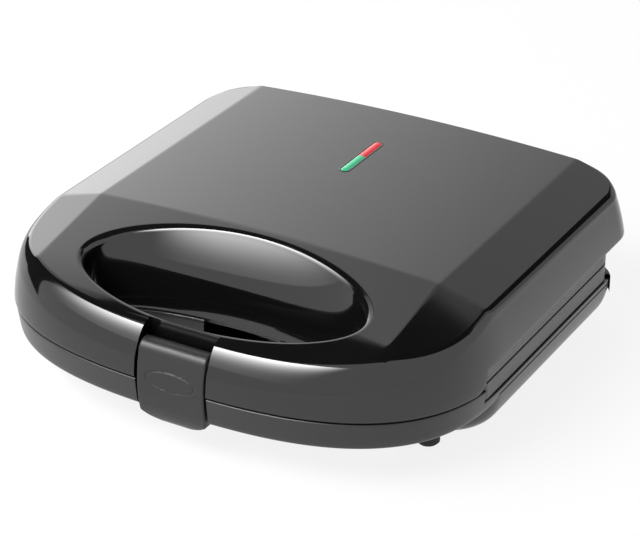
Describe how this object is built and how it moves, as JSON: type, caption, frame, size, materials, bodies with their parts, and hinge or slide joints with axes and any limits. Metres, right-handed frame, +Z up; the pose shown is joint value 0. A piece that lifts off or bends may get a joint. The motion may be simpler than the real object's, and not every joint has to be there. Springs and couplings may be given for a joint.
{
  "type": "sandwich toaster",
  "caption": "Flat electric sandwich toaster with a hinged glossy black lid, dark grey base, paired pocketed cooking plates, a hand hole through both halves and a front latch.",
  "frame": {"origin": "on the table midway between the sides and between front and back, at the underside of the feet", "axes": "+X to the right when seen from the front, +Y from the latch towards the hinges, +Z up"},
  "size_m": [0.2326, 0.2247, 0.0738],
  "materials": {
    "lid_black": "high gloss black",
    "casing_grey": "fine matte grain",
    "frame_grey": "matte, faintly streaked",
    "latch_grey": "fine matte grain",
    "plate_coating": "dark non-stick coating on cast metal",
    "heater_sheath": "heat-stained",
    "reflector_sheet": "bright sheet",
    "screw_steel": "zinc plated",
    "pin_steel": "bright drawn",
    "clip_steel": "blackened",
    "foot_rubber": "matte",
    "terminal_plastic": "natural",
    "terminal_brass": "bright",
    "gland_black": "matte",
    "lead_sleeve": "fibre sleeve",
    "ceramic": "unglazed",
    "bezel_black": "satin",
    "green_lens": "clear tinted, fluted",
    "red_lens": "clear tinted, fluted",
    "green_glass": "clear",
    "red_glass": "clear"
  },
  "bodies": {
    "base": {"base_casing": "casing_grey", "feet": "foot_rubber", "casing_screws": "screw_steel", "base_web": "frame_grey", "lower_frame": "frame_grey", "lower_plate": "plate_coating", "lower_plate_screws": "screw_steel", "lower_heater": "heater_sheath", "lower_reflector": "reflector_sheet", "thermal_fuse": "ceramic", "fuse_strap": "screw_steel", "terminal_block": "terminal_plastic", "terminal_screws": "terminal_brass", "cord_gland": "gland_black", "cord_clamp": "gland_black", "base_leads": "lead_sleeve", "hinge_brackets": "frame_grey", "hinge_pins": "pin_steel", "pin_clips": "clip_steel"},
    "lid": {"lid_casing": "lid_black", "lid_web": "frame_grey", "upper_frame": "frame_grey", "upper_frame_screws": "screw_steel", "upper_plate": "plate_coating", "upper_plate_screws": "screw_steel", "upper_heater": "heater_sheath", "upper_reflector": "reflector_sheet", "thermostat": "ceramic", "thermostat_strap": "screw_steel", "window_bezel": "bezel_black", "green_lens": "green_lens", "red_lens": "red_lens", "lamp_carrier": "terminal_plastic", "carrier_screws": "screw_steel", "green_lamp": "green_glass", "red_lamp": "red_glass", "lid_leads": "lead_sleeve", "latch_pin": "pin_steel"},
    "latch": {"latch": "latch_grey"}
  },
  "joints": [
    {"name": "lid_hinge", "type": "hinge", "parent": "base", "child": "lid", "pos_m": [0, 0.1006, 0.0355], "axis": [-1, 0, 0], "range_deg": [0, 100]},
    {"name": "latch_hinge", "type": "hinge", "parent": "lid", "child": "latch", "pos_m": [0, -0.1056, 0.0459], "axis": [-1, 0, 0], "range_deg": [0, 35]}
  ]
}
